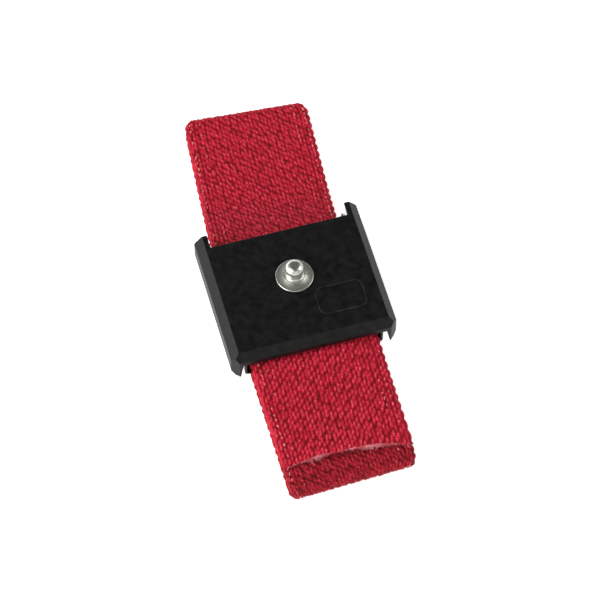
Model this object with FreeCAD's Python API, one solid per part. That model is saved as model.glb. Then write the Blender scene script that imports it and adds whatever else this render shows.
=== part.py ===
"""Antistatic wrist strap: elastic webbing loop with a flip-cover buckle and a 4 mm snap stud.

Millimetres, +Z up. The strap lies flat: +X runs across the webbing, +Y along it towards the fixed end's fold.
The shapes are drawn about the snap stud's axis and moved at export, so that the origin is the middle of the
base of the whole object.
"""
import FreeCAD, Part
import math
import os

Vector = FreeCAD.Vector

# ---- webbing
WEB_T = 1.4                    # thickness
LOWER_Z = WEB_T / 2            # centre height of the run that lies on the table
UPPER_Z = 2.8                  # centre height of the two upper runs
LAYER_GAP = 0.05               # between two layers that touch
FAR_FOLD_Y = 47.3              # outermost point of the fold at +Y
NEAR_FOLD_Y = -43.9            # outermost point of the fold at -Y
TAIL_END_Y = -38.2             # cut end of the free tail
HEM_END_Y = 15.0               # cut end of the sewn-back short end
FAR_SLOPE = math.radians(11)   # fall of the main run from the anchor bar
HEM_SLOPE = math.radians(14)   # rise of the short end from the anchor bar
TAIL_SLOPE = math.radians(6)   # fall of the tail from the adjuster bar
SLOPE_BEND_R = 25.0            # gentle bend where a sloping run meets a flat one
HEM_BEND_R = 4.0

# The webbing's outline from above, straight between these points: y, left x, right x.
WEB_OUTLINE = [
    (FAR_FOLD_Y, -10.6, 15.2),
    (14.0, -13.4, 12.9),
    (9.0, -13.0, 13.0),
    (-15.4, -13.1, 13.1),
    (NEAR_FOLD_Y, -13.0, 12.4),
]

# ---- bars
BAR_R = 0.8
BAR_Z = 4.35
BAR_FIT = 0.03                 # radial clearance in the channel's holes
BAR_HEAD_R = 1.05
BAR_HEAD_T = 0.3
BAR_HEAD_EDGE = 0.18
ANCHOR_Y = 7.5
ADJUSTER_Y = -6.0
WRAP_GAP = 0.05                # between bar and webbing
WRAP_R = BAR_R + WRAP_GAP + WEB_T / 2

# ---- U-channel back plate
SHEET = 0.45
CHANNEL_HALF_W = 14.4
CHANNEL_BOTTOM = 1.6
CHANNEL_TOP = 8.6
CHANNEL_NEAR_Y = -14.4
CHANNEL_FAR_Y = 14.2
CHANNEL_BEND_R = 0.9           # outside radius of the folds
FLANGE_NEAR_R = 2.0            # top corner of each flange at the catch end
FLANGE_FAR_R = 3.0             # and at the hinge end, round the pivot

# ---- cover
COVER_TOP = 10.4
PLATE_T = 1.5
COVER_BOTTOM = 3.4
WALL_IN_TOP = 14.45            # inner face of the side walls at the top, from the middle
WALL_IN_LOW = 15.5             # and at the bottom: the walls thin downwards
WALL_OUT = 17.15
TOP_HALF_W = 15.5              # half width of the flat top
PLATE_HALF_W = 14.9            # the plate and lip run this far into the walls
SHOULDER_Z = 8.35              # lower edge of the chamfers round the top
TOE_Z = 4.2                    # where the walls' lower bevel starts
TOE_X = 16.5                   # outer edge of the walls' bottom
EAR_Y = 14.25                  # far end of the side walls
PLATE_FAR_Y = 11.25
TOP_NEAR_Y = -14.2             # near edge of the flat top
LIP_Y = -15.6                  # front face of the lip
LIP_BOTTOM = 7.2
LIP_T = 1.1
LUG_FACET = 1.45               # corner cut of the walls' near ends
EDGE_R = 0.12                  # moulded edge break

# ---- moulded mark on the cover
MARK_CENTRE = (7.6, -7.2)
MARK_SIZE = (10.0, 6.5)
MARK_R = 1.7
MARK_LINE = 0.25
MARK_H = 0.1

# ---- hinge: bosses on the cover in holes in the channel
HINGE_Y = 11.2
HINGE_Z = 5.6
BOSS_R = 1.2
BOSS_FIT = 0.05
BOSS_LEAD_IN = 0.2
BOSS_END_X = CHANNEL_HALF_W - SHEET
BOSS_ROOT_X = (WALL_IN_LOW + WALL_OUT) / 2

# ---- jaw and catch, both moulded on the cover
JAW_NEAR_Y = -9.2
JAW_FAR_Y = -5.0
JAW_HALF_W = 12.0
JAW_GAP = 0.1                  # between tooth tips and webbing
TOOTH_PITCH = 1.05
TOOTH_H = 0.6                  # a groove runs this far above and below the line of the tips
TOOTH_RAKE = 0.1
CATCH_Y = -11.8
CATCH_Z = 5.0
CATCH_BALL_R = 1.6
CATCH_GAP = 0.12               # between a nub's tip and the flange
CATCH_ROOT = 2.0               # depth of a nub, tip to root, inside the wall

# ---- snap stud and rivet, heights from the cover's top
FLANGE_R = 3.85
RIM_R = 0.18                   # the flange's rolled edge
DOME_MID = (2.95, 0.5)         # a point on the dome, as radius and height
DOME_END = (2.15, 0.78)        # where the dome turns up into the neck
FLARE_MID = (1.75, 0.93)
NECK_R = 1.6
NECK_LOW = 1.15
NECK_TOP = 1.5
BULGE_MID = (1.88, 1.62)       # the head's lower shoulder
HEAD_R = 2.0
HEAD_LOW = 1.9                 # the head's widest band runs from here
HEAD_HIGH = 2.9                # to here
CROWN_MID = (1.62, 3.75)
CROWN_R = 0.45                 # flat on the very top
STUD_H = 4.2
STUD_SHELL = 0.25
STUD_BORE_TOP = 3.3
RIVET_R = 1.0
RIVET_BORE_R = 0.6
RIVET_FIT = 0.02
RIVET_HEAD_R = 2.2
RIVET_HEAD_T = 0.4
RIVET_HEAD_EDGE = 0.2
RIVET_ROLL_R = 1.25
RIVET_ROLL_T = 0.3
WASHER_R = 3.0
WASHER_T = 0.4

# ---- contact spring
SPRING_T = 0.25
SPRING_HALF_W = 2.4
SPRING_START_X = -3.2
SPRING_TURN_X = 8.2
SPRING_FOOT_X = 1.6
SPRING_END_X = -0.8
SPRING_BEND_R = 1.3
SPRING_FOOT_R = 1.2
SPRING_CURL = math.radians(22)  # lift of the free tip
SPRING_REST_GAP = 0.1          # between the spring's foot and the channel
SPRING_FOOT_RISE = 0.2         # the curled foot's arc passes this far above its corner

# ---- bar tack
STITCH_Y = (12.7, 13.5)
STITCH_COUNT = 15
STITCH_SPAN = 21.0
STITCH_R = 0.2
STITCH_LEN = 1.1
STITCH_LEAN = math.radians(24)

STUD_Y_IN_FRAME = -(FAR_FOLD_Y + NEAR_FOLD_Y) / 2
FRAME_SHIFT = Vector(0, STUD_Y_IN_FRAME, 0)

PLATE_BOTTOM = COVER_TOP - PLATE_T
SAME_POINT = 1e-6
PAST = 1.0                     # how far cutting stock runs past what it cuts


def box(x0, x1, y0, y1, z0, z1):
    return Part.makeBox(x1 - x0, y1 - y0, z1 - z0, Vector(x0, y0, z0))


def prism(points, direction):
    """Solid from a closed outline of 3-D points, pushed along direction."""
    wire = Part.makePolygon(points + [points[0]])
    return Part.Face(wire).extrude(direction)


def rounded_route(corners):
    """Lines and arcs of a route of (u, v, radius) corners, each as (start, end, centre or None, turn)."""
    pieces = []
    here = corners[0][:2]
    for before, corner, after in zip(corners, corners[1:], corners[2:]):
        heading_in = math.atan2(corner[1] - before[1], corner[0] - before[0])
        heading_out = math.atan2(after[1] - corner[1], after[0] - corner[0])
        turn = (heading_out - heading_in + math.pi) % (2 * math.pi) - math.pi
        radius = corner[2]
        setback = radius * math.tan(abs(turn) / 2)
        start = (corner[0] - setback * math.cos(heading_in), corner[1] - setback * math.sin(heading_in))
        end = (corner[0] + setback * math.cos(heading_out), corner[1] + setback * math.sin(heading_out))
        side = math.copysign(radius, turn)
        centre = (start[0] - side * math.sin(heading_in), start[1] + side * math.cos(heading_in))
        if math.dist(here, start) > SAME_POINT:
            pieces.append((here, start, None, 0.0))
        pieces.append((start, end, centre, turn))
        here = end
    pieces.append((here, corners[-1][:2], None, 0.0))
    return pieces


def offset_edge(piece, shift, place):
    """One line or arc of a route moved sideways by shift, as an edge; place turns (u, v) into a 3-D point."""
    start, end, centre, turn = piece
    if centre is None:
        length = math.dist(start, end)
        normal = (-(end[1] - start[1]) / length, (end[0] - start[0]) / length)
        ends = [(p[0] + shift * normal[0], p[1] + shift * normal[1]) for p in (start, end)]
        return Part.LineSegment(place(*ends[0]), place(*ends[1])).toShape()
    radius = math.dist(start, centre) - shift * math.copysign(1, turn)
    first = math.atan2(start[1] - centre[1], start[0] - centre[0])
    angles = [first, first + turn / 2, first + turn]
    points = [place(centre[0] + radius * math.cos(a), centre[1] + radius * math.sin(a)) for a in angles]
    return Part.Arc(*points).toShape()


def strip(corners, thickness, place, push):
    """Closed solid of even thickness along a rounded route, pushed sideways by the vector push."""
    pieces = rounded_route(corners)
    left = [offset_edge(piece, thickness / 2, place) for piece in pieces]
    right = [offset_edge(piece, -thickness / 2, place) for piece in pieces]
    caps = [
        Part.LineSegment(right[0].Vertexes[0].Point, left[0].Vertexes[0].Point).toShape(),
        Part.LineSegment(left[-1].Vertexes[-1].Point, right[-1].Vertexes[-1].Point).toShape(),
    ]
    wire = Part.Wire(Part.__sortEdges__(left + right + caps))
    return Part.Face(wire).extrude(push)


def route_length(corners):
    total = 0.0
    for start, end, centre, turn in rounded_route(corners):
        total += math.dist(start, end) if centre is None else abs(turn) * math.dist(start, centre)
    return total


def far_run_z(y):
    """Centre height of the sloping main run beyond the anchor bar."""
    return BAR_Z + WRAP_R / math.cos(FAR_SLOPE) - math.tan(FAR_SLOPE) * (y - ANCHOR_Y)


def hem_rise_z(y):
    """Centre height of the short end where it rises from under the anchor bar."""
    return BAR_Z - WRAP_R / math.cos(HEM_SLOPE) + math.tan(HEM_SLOPE) * (y - ANCHOR_Y)


def hem_top_z(y):
    """Centre height of the short end where it lies against the main run."""
    return far_run_z(y) - (WEB_T + LAYER_GAP) / math.cos(FAR_SLOPE)


def tail_z(y):
    """Centre height of the sloping tail between the adjuster bar and the flat of the loop."""
    return BAR_Z + WRAP_R / math.cos(TAIL_SLOPE) - math.tan(TAIL_SLOPE) * (ADJUSTER_Y - y)


def webbing_route():
    """The webbing's centre line in the Y-Z plane, from the sewn short end to the cut end of the tail."""
    fold_r = (UPPER_Z - LOWER_Z) / 2
    far_y = FAR_FOLD_Y - WEB_T / 2
    near_y = NEAR_FOLD_Y + WEB_T / 2
    anchor_back = ANCHOR_Y - WRAP_R
    adjuster_back = ADJUSTER_Y + WRAP_R
    tail_z_flat = UPPER_Z + WEB_T + LAYER_GAP
    hem_bend_y = ANCHOR_Y + (hem_top_z(ANCHOR_Y) - hem_rise_z(ANCHOR_Y)) / (
        math.tan(FAR_SLOPE) + math.tan(HEM_SLOPE))
    far_flat_y = ANCHOR_Y + (far_run_z(ANCHOR_Y) - UPPER_Z) / math.tan(FAR_SLOPE)
    tail_flat_y = ADJUSTER_Y - (tail_z(ADJUSTER_Y) - tail_z_flat) / math.tan(TAIL_SLOPE)
    return [
        (HEM_END_Y, hem_top_z(HEM_END_Y), 0),
        (hem_bend_y, hem_rise_z(hem_bend_y), HEM_BEND_R),
        (anchor_back, hem_rise_z(anchor_back), WRAP_R),
        (anchor_back, far_run_z(anchor_back), WRAP_R),
        (far_flat_y, UPPER_Z, SLOPE_BEND_R),
        (far_y, UPPER_Z, fold_r),
        (far_y, LOWER_Z, fold_r),
        (near_y, LOWER_Z, fold_r),
        (near_y, UPPER_Z, fold_r),
        (adjuster_back, UPPER_Z, WRAP_R),
        (adjuster_back, tail_z(adjuster_back), WRAP_R),
        (tail_flat_y, tail_z_flat, SLOPE_BEND_R),
        (TAIL_END_Y, tail_z_flat, 0),
    ]


def make_strap():
    half = max(abs(x) for _, left, right in WEB_OUTLINE for x in (left, right)) + PAST
    ribbon = strip(webbing_route(), WEB_T, lambda u, v: Vector(-half, u, v), Vector(2 * half, 0, 0))
    left_side = [Vector(left, y, -PAST) for y, left, _ in WEB_OUTLINE]
    right_side = [Vector(right, y, -PAST) for y, _, right in WEB_OUTLINE]
    outline = prism(left_side + right_side[::-1], Vector(0, 0, COVER_TOP))
    return ribbon.common(outline).removeSplitter()


def make_stitching():
    """Zigzag stitches that lie on the main run and under the short end."""
    stitches = []
    step = STITCH_SPAN / (STITCH_COUNT - 1)
    half = STITCH_LEN / 2
    lift = (WEB_T / 2 + STITCH_R) / math.cos(FAR_SLOPE)
    for row, y in enumerate(STITCH_Y):
        for z in (far_run_z(y) + lift, hem_top_z(y) - lift):
            for index in range(STITCH_COUNT):
                lean = STITCH_LEAN * (1 if (index + row) % 2 else -1)
                along = Vector(math.sin(lean), math.cos(lean) * math.cos(FAR_SLOPE), 0)
                along.z = -math.cos(lean) * math.sin(FAR_SLOPE)
                x = -STITCH_SPAN / 2 + index * step
                start = Vector(x, y, z) - along * (half - STITCH_R)
                stitch = Part.makeCylinder(STITCH_R, 2 * (half - STITCH_R), start, along)
                stitches.append(stitch)
    return Part.makeCompound(stitches)


def channel_section():
    """Bent-sheet U in the X-Z plane."""
    half = CHANNEL_HALF_W - SHEET / 2
    base = CHANNEL_BOTTOM + SHEET / 2
    bend = CHANNEL_BEND_R - SHEET / 2
    corners = [(-half, CHANNEL_TOP, 0), (-half, base, bend), (half, base, bend), (half, CHANNEL_TOP, 0)]
    length = CHANNEL_FAR_Y - CHANNEL_NEAR_Y
    return strip(corners, SHEET, lambda u, v: Vector(u, CHANNEL_NEAR_Y, v), Vector(0, length, 0))


def flange_profile():
    """The channel seen from the side, with rounded top corners."""
    half = CHANNEL_HALF_W + PAST
    side = box(-half, half, CHANNEL_NEAR_Y, CHANNEL_FAR_Y, CHANNEL_BOTTOM, CHANNEL_TOP)
    for y, radius in ((CHANNEL_NEAR_Y, FLANGE_NEAR_R), (CHANNEL_FAR_Y, FLANGE_FAR_R)):
        corner = Vector(0, y, CHANNEL_TOP)
        edges = [edge for edge in side.Edges if edge.CenterOfMass.distanceToPoint(corner) < SAME_POINT]
        side = side.makeFillet(radius, edges)
    return side


def cross_hole(radius, y, z):
    half = WALL_OUT + PAST
    return Part.makeCylinder(radius, 2 * half, Vector(-half, y, z), Vector(1, 0, 0))


def make_back_plate():
    plate = channel_section().common(flange_profile())
    for y in (ANCHOR_Y, ADJUSTER_Y):
        plate = plate.cut(cross_hole(BAR_R + BAR_FIT, y, BAR_Z))
    return plate.cut(cross_hole(BOSS_R + BOSS_FIT, HINGE_Y, HINGE_Z))


def make_bar(y):
    """Steel rod across the channel with peened heads outside the flanges."""
    half = CHANNEL_HALF_W + BAR_HEAD_T
    bar = Part.makeCylinder(BAR_R, 2 * half, Vector(-half, y, BAR_Z), Vector(1, 0, 0))
    for side in (-1, 1):
        head = Part.makeCylinder(
            BAR_HEAD_R, BAR_HEAD_T, Vector(side * CHANNEL_HALF_W, y, BAR_Z), Vector(side, 0, 0))
        rim = [edge for edge in head.Edges if abs(abs(edge.CenterOfMass.x) - half) < SAME_POINT]
        bar = bar.fuse(head.makeFillet(BAR_HEAD_EDGE, rim))
    return bar.removeSplitter()


def cover_section():
    """Half section of the cover through a side wall, as a solid over the walls' whole length."""
    length = EAR_Y - LIP_Y
    outline = [
        Vector(WALL_IN_TOP, LIP_Y, COVER_TOP),
        Vector(TOP_HALF_W, LIP_Y, COVER_TOP),
        Vector(WALL_OUT, LIP_Y, SHOULDER_Z),
        Vector(WALL_OUT, LIP_Y, TOE_Z),
        Vector(TOE_X, LIP_Y, COVER_BOTTOM),
        Vector(WALL_IN_LOW, LIP_Y, COVER_BOTTOM),
    ]
    return prism(outline, Vector(0, length, 0))


def lip_section():
    """Top plate and front lip in the Y-Z plane, as a solid between the walls."""
    outline = [
        Vector(-PLATE_HALF_W, PLATE_FAR_Y, COVER_TOP),
        Vector(-PLATE_HALF_W, LIP_Y, COVER_TOP),
        Vector(-PLATE_HALF_W, LIP_Y, LIP_BOTTOM),
        Vector(-PLATE_HALF_W, LIP_Y + LIP_T, LIP_BOTTOM),
        Vector(-PLATE_HALF_W, LIP_Y + LIP_T, SHOULDER_Z - LIP_T / 2),
        Vector(-PLATE_HALF_W, TOP_NEAR_Y + LIP_T, PLATE_BOTTOM),
        Vector(-PLATE_HALF_W, PLATE_FAR_Y, PLATE_BOTTOM),
    ]
    return prism(outline, Vector(2 * PLATE_HALF_W, 0, 0))


def front_cuts():
    """Stock taken off the near end: the chamfer along the top edge and a facet down each corner."""
    wide = WALL_OUT + PAST
    clear_y = LIP_Y - PAST
    clear_z = COVER_TOP + PAST
    chamfer = prism([
        Vector(-wide, TOP_NEAR_Y, COVER_TOP),
        Vector(-wide, LIP_Y, SHOULDER_Z),
        Vector(-wide, clear_y, SHOULDER_Z),
        Vector(-wide, clear_y, clear_z),
        Vector(-wide, TOP_NEAR_Y, clear_z),
    ], Vector(2 * wide, 0, 0))
    cuts = [chamfer]
    for side in (-1, 1):
        cuts.append(prism([
            Vector(side * (WALL_OUT - LUG_FACET), LIP_Y, 0),
            Vector(side * WALL_OUT, LIP_Y + LUG_FACET, 0),
            Vector(side * wide, LIP_Y + LUG_FACET, 0),
            Vector(side * wide, clear_y, 0),
            Vector(side * (WALL_OUT - LUG_FACET), clear_y, 0),
        ], Vector(0, 0, clear_z)))
    return cuts


def make_jaw():
    """Toothed ridge that presses the tail on to the adjuster bar, its tips in line with the tail."""
    webbing_top = (WEB_T / 2 + JAW_GAP) / math.cos(TAIL_SLOPE)
    jaw = prism([
        Vector(-JAW_HALF_W, JAW_NEAR_Y, tail_z(JAW_NEAR_Y) + webbing_top),
        Vector(-JAW_HALF_W, JAW_FAR_Y, tail_z(JAW_FAR_Y) + webbing_top),
        Vector(-JAW_HALF_W, JAW_FAR_Y, COVER_TOP - PLATE_T / 2),
        Vector(-JAW_HALF_W, JAW_NEAR_Y, COVER_TOP - PLATE_T / 2),
    ], Vector(2 * JAW_HALF_W, 0, 0))
    groove_count = int((JAW_FAR_Y - JAW_NEAR_Y) / TOOTH_PITCH)
    groove_half = TOOTH_PITCH * 0.45
    for index in range(groove_count):
        y = JAW_NEAR_Y + (index + 0.5) * TOOTH_PITCH
        tip = tail_z(y) + webbing_top
        side = -JAW_HALF_W - PAST
        jaw = jaw.cut(prism([
            Vector(side, y - groove_half, tip - TOOTH_H),
            Vector(side, y + groove_half, tip - TOOTH_H),
            Vector(side, y + groove_half - TOOTH_RAKE, tip + TOOTH_H),
        ], Vector(-2 * side, 0, 0)))
    return jaw


def make_mark():
    """Thin raised line round an empty rounded rectangle."""
    def slab(inset):
        width, depth = MARK_SIZE[0] - 2 * inset, MARK_SIZE[1] - 2 * inset
        x0, y0 = MARK_CENTRE[0] - width / 2, MARK_CENTRE[1] - depth / 2
        block = box(x0, x0 + width, y0, y0 + depth, COVER_TOP - MARK_H, COVER_TOP + MARK_H)
        uprights = [edge for edge in block.Edges if abs(edge.tangentAt(edge.FirstParameter).z) > 0.9]
        return block.makeFillet(MARK_R - inset, uprights)
    return slab(0).cut(slab(MARK_LINE))


def make_catch(side):
    """Low rounded nub inside a wall that rubs the flange."""
    tip = CHANNEL_HALF_W + CATCH_GAP
    centre = Vector(side * (tip + CATCH_BALL_R), CATCH_Y, CATCH_Z)
    near, far = sorted((side * tip, side * (tip + CATCH_ROOT)))
    keep = box(near, far, CATCH_Y - CATCH_BALL_R, CATCH_Y + CATCH_BALL_R,
               CATCH_Z - CATCH_BALL_R, CATCH_Z + CATCH_BALL_R)
    return Part.makeSphere(CATCH_BALL_R, centre).common(keep)


def make_boss(side):
    """Pivot boss on a wall's inner face, with a lead-in for snapping into the channel."""
    root = Vector(side * BOSS_ROOT_X, HINGE_Y, HINGE_Z)
    boss = Part.makeCylinder(BOSS_R, BOSS_ROOT_X - BOSS_END_X, root, Vector(-side, 0, 0))
    tip = [edge for edge in boss.Edges if abs(abs(edge.CenterOfMass.x) - BOSS_END_X) < SAME_POINT]
    return boss.makeChamfer(BOSS_LEAD_IN, tip)


def make_cover():
    wall = cover_section()
    cover = lip_section().fuse([wall, wall.mirror(Vector(0, 0, 0), Vector(1, 0, 0))])
    for cut in front_cuts():
        cover = cover.cut(cut)
    cover = cover.removeSplitter()
    cover = cover.makeFillet(EDGE_R, outer_edges(cover))
    additions = [make_jaw(), make_mark()]
    for side in (-1, 1):
        additions.append(make_boss(side))
        additions.append(make_catch(side))
    cover = cover.fuse(additions).removeSplitter()
    shank_hole = Part.makeCylinder(RIVET_R + RIVET_FIT, COVER_TOP, Vector(0, 0, PAST))
    return cover.cut(shank_hole)


def outer_edges(cover):
    """The long edges round the cover's top and down its walls, which a mould leaves slightly round."""
    picked = []
    for edge in cover.Edges:
        middle = edge.CenterOfMass
        on_top = abs(middle.z - COVER_TOP) < SAME_POINT
        on_shoulder = abs(middle.z - SHOULDER_Z) < SAME_POINT and edge.Length > WALL_OUT - WALL_IN_TOP
        on_toe = abs(middle.z - TOE_Z) < SAME_POINT and edge.Length > WALL_OUT - WALL_IN_TOP
        if on_top or on_shoulder or on_toe:
            picked.append(edge)
    return picked


def turned(profile):
    """Solid turned about +Z on the cover's top: (radius, height) points, with arcs as (middle, end) pairs."""
    edges = []
    here = Vector(profile[0][0], 0, COVER_TOP + profile[0][1])
    for step in profile[1:] + profile[:1]:
        bend = isinstance(step[0], tuple)
        corners = [Vector(r, 0, COVER_TOP + h) for r, h in (step if bend else [step])]
        curve = Part.Arc(here, *corners) if bend else Part.LineSegment(here, corners[0])
        edges.append(curve.toShape())
        here = corners[-1]
    return Part.Face(Part.Wire(edges)).revolve(Vector(0, 0, 0), Vector(0, 0, 1), 360)


def make_snap_stud():
    """Drawn shell: domed flange with a rolled edge, flared neck, head band and rounded crown."""
    bore_r = NECK_R - STUD_SHELL
    return turned([
        (bore_r, 0),
        (FLANGE_R - RIM_R, 0),
        ((FLANGE_R, RIM_R), (FLANGE_R - RIM_R, 2 * RIM_R)),
        (DOME_MID, DOME_END),
        (FLARE_MID, (NECK_R, NECK_LOW)),
        (NECK_R, NECK_TOP),
        (BULGE_MID, (HEAD_R, HEAD_LOW)),
        (HEAD_R, HEAD_HIGH),
        (CROWN_MID, (CROWN_R, STUD_H)),
        (0, STUD_H),
        (0, STUD_H - STUD_SHELL),
        (bore_r, STUD_BORE_TOP),
    ])


def make_stud_rivet():
    """Tubular rivet: flat head under the cover, shank through it, and a rolled end inside the stud."""
    washer_bottom = PLATE_BOTTOM - WASHER_T
    head_top = washer_bottom - SPRING_T
    head = Part.makeCylinder(RIVET_HEAD_R, RIVET_HEAD_T, Vector(0, 0, head_top - RIVET_HEAD_T))
    rim = [edge for edge in head.Edges if edge.CenterOfMass.z < head_top - RIVET_HEAD_T + SAME_POINT]
    head = head.makeFillet(RIVET_HEAD_EDGE, rim)
    roll_z = COVER_TOP + NECK_TOP
    shank = Part.makeCylinder(RIVET_R, roll_z - head_top, Vector(0, 0, head_top))
    roll = Part.makeCylinder(RIVET_ROLL_R, RIVET_ROLL_T, Vector(0, 0, roll_z - RIVET_ROLL_T))
    bore_bottom = head_top + RIVET_HEAD_T
    bore = Part.makeCylinder(RIVET_BORE_R, roll_z - bore_bottom + PAST, Vector(0, 0, bore_bottom))
    return head.fuse([shank, roll]).cut(bore).removeSplitter()


def make_rivet_washer():
    z = PLATE_BOTTOM - WASHER_T
    washer = Part.makeCylinder(WASHER_R, WASHER_T, Vector(0, 0, z))
    return washer.cut(Part.makeCylinder(RIVET_R + RIVET_FIT, WASHER_T, Vector(0, 0, z)))


def spring_route():
    """The leaf's centre line in the X-Z plane: flat under the rivet, round a bend, down to a curled foot."""
    top_z = PLATE_BOTTOM - WASHER_T - SPRING_T / 2
    foot_z = CHANNEL_BOTTOM + SHEET + SPRING_REST_GAP + SPRING_T / 2 - SPRING_FOOT_RISE
    end_z = foot_z + (SPRING_FOOT_X - SPRING_END_X) * math.tan(SPRING_CURL)
    return [
        (SPRING_START_X, top_z, 0),
        (SPRING_TURN_X, top_z, SPRING_BEND_R),
        (SPRING_FOOT_X, foot_z, SPRING_FOOT_R),
        (SPRING_END_X, end_z, 0),
    ]


def make_contact_spring():
    leaf = strip(
        spring_route(), SPRING_T, lambda u, v: Vector(u, -SPRING_HALF_W, v), Vector(0, 2 * SPRING_HALF_W, 0))
    hole_z = PLATE_BOTTOM - WASHER_T - SPRING_T - PAST
    hole = Part.makeCylinder(RIVET_R + RIVET_FIT, SPRING_T + 2 * PAST, Vector(0, 0, hole_z))
    return leaf.cut(hole)


def export(name, shape):
    shape = shape.copy()
    shape.translate(FRAME_SHIFT)
    if not shape.isValid():
        print("INVALID", name)
    print(name, len(shape.Solids), "solids", round(shape.Volume, 2), "mm3", shape.BoundBox)
    shape.exportStep(os.path.join("parts", name + ".step"))


def main():
    os.makedirs("parts", exist_ok=True)
    print("webbing length", round(route_length(webbing_route()), 1))
    export("strap", make_strap())
    export("anchor_stitching", make_stitching())
    export("back_plate", make_back_plate())
    export("anchor_bar", make_bar(ANCHOR_Y))
    export("adjuster_bar", make_bar(ADJUSTER_Y))
    export("cover", make_cover())
    export("snap_stud", make_snap_stud())
    export("stud_rivet", make_stud_rivet())
    export("rivet_washer", make_rivet_washer())
    export("contact_spring", make_contact_spring())


main()
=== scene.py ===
"""Looks of the antistatic wrist strap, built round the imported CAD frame.

Metres in Blender. Shapes are worked out in millimetres and scaled by MM as they become meshes.
"""
import math
import bpy
import numpy as np
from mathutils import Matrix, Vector


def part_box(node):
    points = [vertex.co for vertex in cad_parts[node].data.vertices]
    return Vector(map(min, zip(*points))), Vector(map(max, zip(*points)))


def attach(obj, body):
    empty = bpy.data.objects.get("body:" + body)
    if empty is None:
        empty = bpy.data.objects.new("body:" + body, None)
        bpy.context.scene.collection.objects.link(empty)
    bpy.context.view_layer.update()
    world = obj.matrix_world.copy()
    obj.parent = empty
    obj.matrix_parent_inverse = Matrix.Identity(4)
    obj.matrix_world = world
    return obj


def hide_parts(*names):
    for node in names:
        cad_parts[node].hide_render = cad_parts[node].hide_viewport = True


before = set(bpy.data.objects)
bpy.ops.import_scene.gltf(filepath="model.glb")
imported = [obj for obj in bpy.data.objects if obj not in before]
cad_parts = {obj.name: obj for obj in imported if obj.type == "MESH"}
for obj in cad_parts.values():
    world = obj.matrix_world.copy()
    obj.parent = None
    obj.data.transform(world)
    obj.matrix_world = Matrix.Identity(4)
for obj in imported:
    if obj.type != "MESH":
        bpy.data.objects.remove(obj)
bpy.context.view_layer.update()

MM = 0.001
BASE = "buckle_base"


# ---- studio
FLOOR_GLOW = 0.72
WALL_LEVELS = [(0.0, 1.0), (0.12, 0.85), (0.4, 0.04), (1.0, 0.02)]
BRIGHT_SIDE = (-0.866, 0.5, 0)  # direction of the brightest wall
BRIGHT_WALL, DIM_WALL = 4.5, 0.9
WALLS_BRIGHTEN_FROM = -0.6     # towards the bright side, as the cosine of the angle from it
SOFT_BOXES = [
    ("left_box", (-0.9, -0.2, 0.8), (0.8, 0.7), 15),
    ("right_box", (0.9, -0.1, 0.75), (0.7, 0.6), 5.5),
    ("front_box", (0.0, -1.2, 0.9), (1.2, 0.6), 3.8),
]


def box_mm(node):
    """Lowest and highest corner of a CAD node, in millimetres."""
    return [np.array(corner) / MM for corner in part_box(node)]


STRAP_LOW, STRAP_HIGH = box_mm("strap")
ANCHOR_Y, BAR_Z = (sum(box_mm("anchor_bar")) / 2)[1:]
ADJUSTER_Y = (sum(box_mm("adjuster_bar")) / 2)[1]

# ---- webbing route, as the CAD strap's
WEB_T = 1.4
LOWER_Z = WEB_T / 2
UPPER_Z = 2.8
LAYER_GAP = 0.05
WRAP_R = 1.55
TAIL_CUT_IN = 5.7              # from the near fold's outermost point to the tail's cut end
HEM_LENGTH_Y = 7.5             # from the anchor bar to the short end's cut end
FAR_SLOPE = math.radians(11)
HEM_SLOPE = math.radians(14)
TAIL_SLOPE = math.radians(6)
SLOPE_BEND_R = 25.0
HEM_BEND_R = 4.0

# The webbing from above, straight between these points: y, left x, right x.
OUTLINE = [
    (-45.6, -13.1, 12.9),
    (-17.1, -13.2, 13.2),
    (7.3, -13.0, 13.1),
    (12.3, -13.4, 13.1),
    (45.6, -10.8, 15.3),
]
# How far the webbing's crosswise rows lean, as a slope, along y.
LEAN = [(-45.6, 0.033), (-22.3, 0.01), (-15.3, 0.0), (8.7, 0.0), (23.7, -0.079), (45.6, -0.079)]
FAR_CORNER_R = 2.8             # rounding of the folds' corners, from above
NEAR_CORNER_R = 1.7
CORNER_DEPTH = 0.6             # share of that by which they are drawn in
CUT_TILT = -0.06               # slope of the tail's cut end, along y for each step along x
CUT_BOW = -0.0091              # and its curve
CUT_SET_BACK = 0.4             # how far the middle of the cut end stands back from the CAD tail's end
CUT_REACH = 9.0                # the rows of stitches turn with the cut over this length
WORN_REACH = 1.3               # the cut ends thin out over this length
WORN_DEPTH = 0.5               # by this much, on the inner side

# ---- knit
FLAT_WIDTH = 25.4
ROW_STEP = 0.26                # mesh rows along the webbing where it shows
HIDDEN_STEP = 0.8              # and where it doesn't
ROUTE_SAMPLES = 4000           # points at which the spacing of those rows is worked out
FINE_POINTS = 171              # mesh points across the side that shows
COARSE_POINTS = 13             # and across the other side
SWAP_BEFORE = 4.0              # the fine points start to change sides this far before the adjuster bar
SWAP_LENGTH = 12.0
COLUMNS = 35                   # wales across each side
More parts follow.
